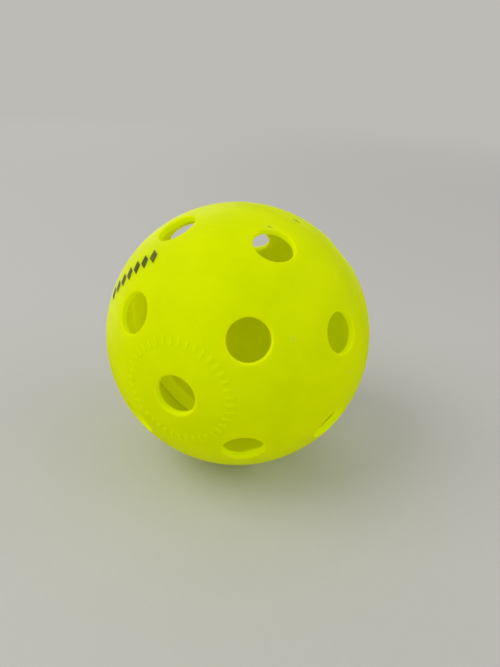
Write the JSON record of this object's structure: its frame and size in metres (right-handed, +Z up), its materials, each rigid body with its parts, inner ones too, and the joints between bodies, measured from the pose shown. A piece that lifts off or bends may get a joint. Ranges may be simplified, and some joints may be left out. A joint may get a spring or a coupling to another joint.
{
  "type": "pickleball ball",
  "caption": "Hollow moulded plastic ball, two welded hemispheres with round holes spread over the whole surface, for indoor pickleball.",
  "frame": {"origin": "centre of the ball", "axes": "+Z up as the ball lies on a floor at z = -37 mm; Y is the polar axis, with the front half and its printed mark towards -Y and the parting plane at y = 0; X across"},
  "size_m": [0.074, 0.0732, 0.074],
  "materials": {
    "front_shell": "soft satin, fluorescent yellow, slightly translucent",
    "rear_shell": "soft satin, fluorescent yellow, slightly translucent",
    "weld": "re-set melted plastic",
    "ink": "thin matt ink"
  },
  "bodies": {
    "root": {"front_half_shell": "front_shell", "rear_half_shell": "rear_shell", "weld_bead": "weld", "printed_mark": "ink"}
  },
  "joints": []
}
